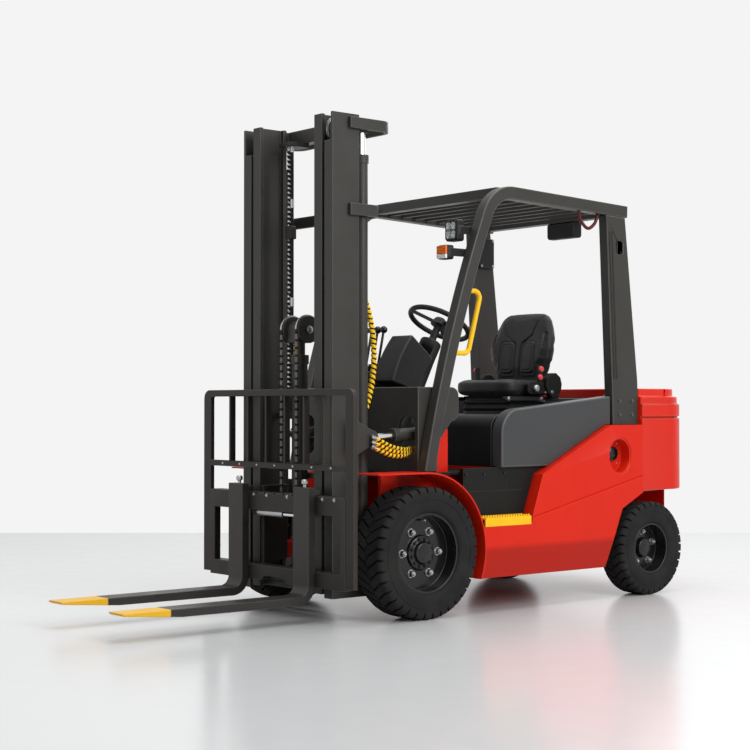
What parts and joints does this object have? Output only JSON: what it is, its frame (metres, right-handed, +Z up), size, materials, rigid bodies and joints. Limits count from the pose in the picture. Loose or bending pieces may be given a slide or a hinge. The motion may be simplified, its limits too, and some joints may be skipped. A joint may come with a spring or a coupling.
{
  "type": "counterbalance forklift truck",
  "caption": "Four-wheel counterbalance forklift truck with tilting two-stage mast, side-shifting fork carriage, load backrest, overhead guard, seat hood and red body",
  "frame": {"origin": "On the floor, under the middle of the outline from the fork tips to the counterweight", "axes": "+X forward along the forks, +Y to the driver's left, +Z up"},
  "size_m": [3.6056, 1.246, 2.455],
  "materials": {
    "red_paint": "gloss",
    "red_casting": "gloss paint",
    "charcoal_paint": "satin",
    "black_plastic": "fine grain",
    "grey_plastic": "fine grain",
    "bright_steel": "polished",
    "yellow_paint": "satin",
    "tyre_rubber": "matte",
    "floor_rubber": "matte",
    "lens_plastic": "clear",
    "axle_iron": "painted",
    "seat_cover": "vinyl grain",
    "rim_paint": "gloss",
    "chain_steel": "oiled",
    "fork_paint": "satin, yellow tips",
    "hose_rubber": "spiral wrap"
  },
  "bodies": {
    "chassis": {"frame": "red_paint", "side_tanks": "red_paint", "front_plates": "red_paint", "rear_spine": "red_paint", "battery": "charcoal_paint", "counterweight": "red_casting", "counterweight_foot": "red_casting", "side_panels": "red_paint", "lower_covers": "grey_plastic", "step_plates": "yellow_paint", "front_fenders": "red_paint", "floor_plate": "floor_rubber", "cowl": "charcoal_paint", "steering_column": "black_plastic", "levers": "black_plastic", "pedals": "black_plastic", "guard_front": "charcoal_paint", "guard_roof": "charcoal_paint", "guard_rear": "charcoal_paint", "grab_handle": "yellow_paint", "lamps": "black_plastic", "lamp_lenses": "lens_plastic", "drive_axle": "axle_iron", "steer_axle": "axle_iron", "hood_flanks": "grey_plastic", "front_deck": "black_plastic"},
    "hood": {"hood": "black_plastic", "seat_base": "black_plastic", "seat_cushion": "seat_cover", "seat_back": "seat_cover", "seat_sides": "black_plastic"},
    "steering_wheel": {"steering_wheel": "black_plastic"},
    "front_wheel_left": {"front_tyre_left": "tyre_rubber", "front_rim_left": "rim_paint"},
    "front_wheel_right": {"front_tyre_right": "tyre_rubber", "front_rim_right": "rim_paint"},
    "knuckle_left": {"knuckle_left": "axle_iron"},
    "knuckle_right": {"knuckle_right": "axle_iron"},
    "rear_wheel_left": {"rear_tyre_left": "tyre_rubber", "rear_rim_left": "rim_paint"},
    "rear_wheel_right": {"rear_tyre_right": "tyre_rubber", "rear_rim_right": "rim_paint"},
    "outer_mast": {"outer_mast": "charcoal_paint", "mast_bows": "charcoal_paint", "lift_barrels": "charcoal_paint", "mast_hoses": "hose_rubber"},
    "inner_mast": {"inner_mast": "charcoal_paint", "lift_rods": "bright_steel", "free_barrel": "charcoal_paint", "chain_rear": "chain_steel"},
    "crosshead": {"crosshead": "bright_steel"},
    "carriage": {"carriage": "charcoal_paint", "chain_front": "chain_steel"},
    "shifter": {"shifter": "charcoal_paint", "backrest": "charcoal_paint", "fork_left": "fork_paint", "fork_right": "fork_paint"},
    "tilt_barrels": {"tilt_barrels": "charcoal_paint"},
    "tilt_rods": {"tilt_rods": "bright_steel"}
  },
  "joints": [
    {"name": "front_spin_left", "type": "hinge", "parent": "chassis", "child": "front_wheel_left", "pos_m": [0.2672, 0.5205, 0.321], "axis": [0, 1, 0], "continuous": true},
    {"name": "front_spin_right", "type": "hinge", "parent": "chassis", "child": "front_wheel_right", "pos_m": [0.2672, -0.5205, 0.321], "axis": [0, 1, 0], "continuous": true},
    {"name": "steer", "type": "hinge", "parent": "chassis", "child": "knuckle_left", "pos_m": [-1.3648, 0.4, 0.254], "axis": [0, 0, 1], "range_deg": [-70, 70]},
    {"name": "steer_right", "type": "hinge", "parent": "chassis", "child": "knuckle_right", "pos_m": [-1.3648, -0.4, 0.254], "axis": [0, 0, 1], "range_deg": [-70, 70]},
    {"name": "rear_spin_left", "type": "hinge", "parent": "knuckle_left", "child": "rear_wheel_left", "pos_m": [-1.3648, 0.543, 0.254], "axis": [0, 1, 0], "continuous": true},
    {"name": "rear_spin_right", "type": "hinge", "parent": "knuckle_right", "child": "rear_wheel_right", "pos_m": [-1.3648, -0.543, 0.254], "axis": [0, 1, 0], "continuous": true},
    {"name": "steering_turn", "type": "hinge", "parent": "chassis", "child": "steering_wheel", "pos_m": [-0.3478, 0, 1.4641], "axis": [-0.5, 0, 0.866], "range_deg": [-680, 680]},
    {"name": "hood_open", "type": "hinge", "parent": "chassis", "child": "hood", "pos_m": [-1.2908, 0, 1.076], "axis": [0, -1, 0], "range_deg": [0, 60]},
    {"name": "mast_tilt", "type": "hinge", "parent": "chassis", "child": "outer_mast", "pos_m": [0.4072, 0, 0.29], "axis": [0, 1, 0], "range_deg": [-6, 6]},
    {"name": "tilt_swing", "type": "hinge", "parent": "chassis", "child": "tilt_barrels", "pos_m": [0.0172, 0, 0.905], "axis": [0, 1, 0], "range_deg": [-1, 1]},
    {"name": "tilt_stroke", "type": "slide", "parent": "tilt_barrels", "child": "tilt_rods", "axis": [0.9985, 0, -0.0555], "range_m": [-0.063, 0.063]},
    {"name": "mast_lift", "type": "slide", "parent": "outer_mast", "child": "inner_mast", "axis": [0, 0, 1], "range_m": [0, 1.8]},
    {"name": "free_lift", "type": "slide", "parent": "inner_mast", "child": "crosshead", "axis": [0, 0, 1], "range_m": [-0.04, 0.78], "deforming": ["chain_rear"]},
    {"name": "carriage_lift", "type": "slide", "parent": "inner_mast", "child": "carriage", "axis": [0, 0, 1], "range_m": [-0.08, 1.56], "deforming": ["chain_front"]},
    {"name": "side_shift", "type": "slide", "parent": "carriage", "child": "shifter", "axis": [0, 1, 0], "range_m": [-0.1, 0.1]}
  ],
  "couplings": [
    {"joint": "steer_right", "follows": "steer", "ratio": 1},
    {"joint": "steering_turn", "follows": "steer", "ratio": -9.6},
    {"joint": "tilt_swing", "follows": "mast_tilt", "ratio": 0.0603},
    {"joint": "tilt_stroke", "follows": "mast_tilt", "m_per_rad": 0.5924},
    {"joint": "carriage_lift", "follows": "free_lift", "ratio": 2}
  ]
}
